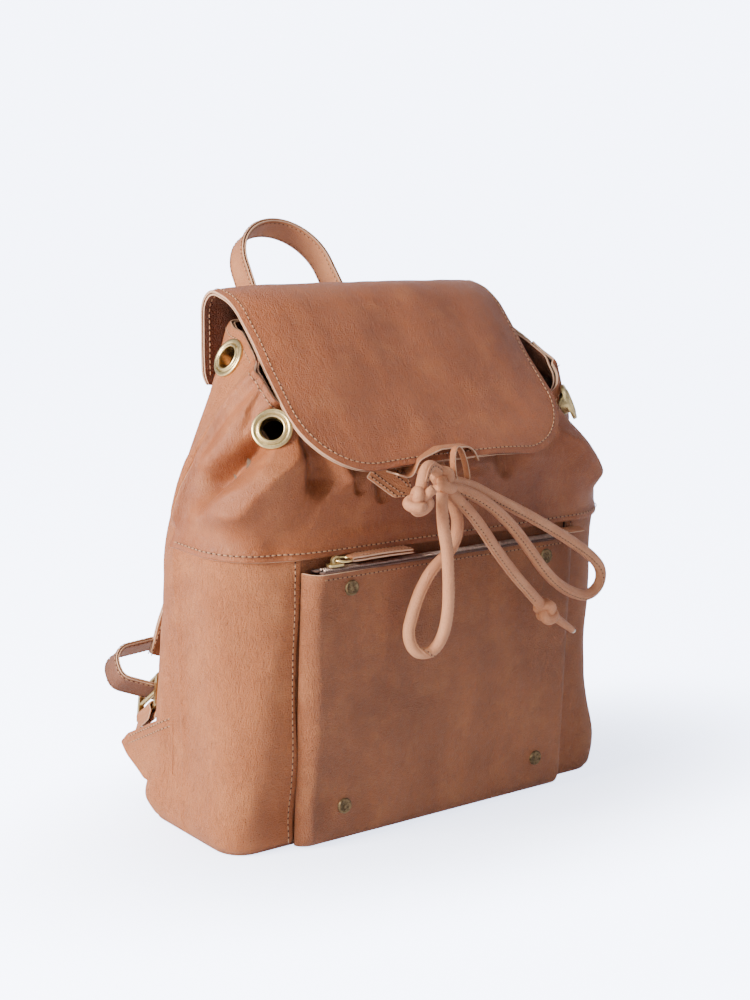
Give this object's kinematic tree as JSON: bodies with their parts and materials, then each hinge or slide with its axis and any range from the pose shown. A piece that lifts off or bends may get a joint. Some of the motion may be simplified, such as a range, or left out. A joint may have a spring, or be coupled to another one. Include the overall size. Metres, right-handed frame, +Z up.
{
  "type": "leather backpack",
  "caption": "Soft leather drawstring backpack with a front flap, tied cord, front zip pocket, haul handle and buckled shoulder straps.",
  "frame": {"origin": "centre of the base's underside, where the bag stands", "axes": "+Z up, the bag's front faces -Y, +X to the right seen from the front"},
  "size_m": [0.3146, 0.2428, 0.3602],
  "materials": {
    "leather_body": "waxed pull-up leather with fine wrinkle grain",
    "leather_yoke": "softer waxed leather, gathered",
    "leather_facing": "matte inner leather",
    "leather_flap": "waxed leather with pale cut edges",
    "leather_strap": "edge-stitched strap leather",
    "leather_cord": "rolled and stitched leather",
    "lining_fabric": "plain woven cotton",
    "board": "matte fibreboard",
    "brass_bright": "light satin brass plating",
    "brass_antique": "antiqued, dark in the recesses",
    "zip_tape": "woven tape",
    "zip_coil": "satin coil"
  },
  "bodies": {
    "root": {"base_panel": "leather_body", "front_left_panel": "leather_body", "front_centre_panel": "leather_body", "front_right_panel": "leather_body", "back_panel": "leather_body", "pocket_front": "leather_body", "yoke": "leather_yoke", "back_seam_strip": "leather_yoke", "hem_facing": "leather_facing", "tail_strap_left": "leather_strap", "tail_strap_right": "leather_strap", "strap_wing_left": "leather_strap", "strap_wing_right": "leather_strap", "zip_end_tab": "leather_strap", "cord_keeper": "leather_strap", "drawcord": "leather_cord", "cord_loop_left": "leather_cord", "cord_loop_right": "leather_cord", "cord_tail_left": "leather_cord", "cord_tail_right": "leather_cord", "cord_knot_left": "leather_cord", "cord_knot_right": "leather_cord", "bow_knot": "leather_cord", "cord_tip_right": "leather_cord", "lining": "lining_fabric", "base_board": "board", "eyelet_faces": "brass_bright", "eyelet_washers": "brass_bright", "rivet_caps": "brass_antique", "rivet_posts": "brass_antique", "zip_tape_upper": "zip_tape", "zip_tape_lower": "zip_tape", "zip_coil_upper": "zip_coil", "zip_coil_lower": "zip_coil"},
    "flap": {"flap_outer": "leather_flap", "flap_lining": "leather_facing"},
    "handle": {"handle_outer": "leather_strap", "handle_lining": "leather_strap"},
    "zip_slider": {"zip_slider": "brass_bright"},
    "zip_pull": {"zip_pull_ring": "brass_bright", "zip_pull_strap": "leather_strap"},
    "strap_left": {"shoulder_strap_left": "leather_strap"},
    "strap_right": {"shoulder_strap_right": "leather_strap"},
    "buckle_left": {"strap_buckle_left": "brass_bright"},
    "buckle_right": {"strap_buckle_right": "brass_bright"}
  },
  "joints": [
    {"name": "flap_hinge", "type": "hinge", "parent": "root", "child": "flap", "pos_m": [0, 0.0615, 0.262], "axis": [-1, 0, 0], "range_deg": [0, 105]},
    {"name": "handle_hinge", "type": "hinge", "parent": "flap", "child": "handle", "pos_m": [0, 0.064, 0.262], "axis": [-1, 0, 0], "range_deg": [-20, 35]},
    {"name": "zip_slide", "type": "slide", "parent": "root", "child": "zip_slider", "axis": [1, 0, 0], "range_m": [0, 0.17]},
    {"name": "zip_pull_hinge", "type": "hinge", "parent": "zip_slider", "child": "zip_pull", "pos_m": [-0.086, -0.057, 0.1742], "axis": [0, -1, 0], "range_deg": [0, 150]},
    {"name": "strap_left_swing", "type": "hinge", "parent": "root", "child": "strap_left", "pos_m": [-0.062, 0.063, 0.256], "axis": [0.3718, -0.0043, 0.9283], "range_deg": [-12, 12]},
    {"name": "buckle_left_tilt", "type": "hinge", "parent": "root", "child": "buckle_left", "pos_m": [-0.14223, 0.05529, 0.06096], "axis": [0, -0.7766, 0.63], "range_deg": [-7, 7]},
    {"name": "strap_right_swing", "type": "hinge", "parent": "root", "child": "strap_right", "pos_m": [0.062, 0.063, 0.256], "axis": [0.3718, 0.0043, -0.9283], "range_deg": [-12, 12]},
    {"name": "buckle_right_tilt", "type": "hinge", "parent": "root", "child": "buckle_right", "pos_m": [0.14223, 0.05529, 0.06096], "axis": [0, 0.7766, -0.63], "range_deg": [-7, 7]}
  ]
}
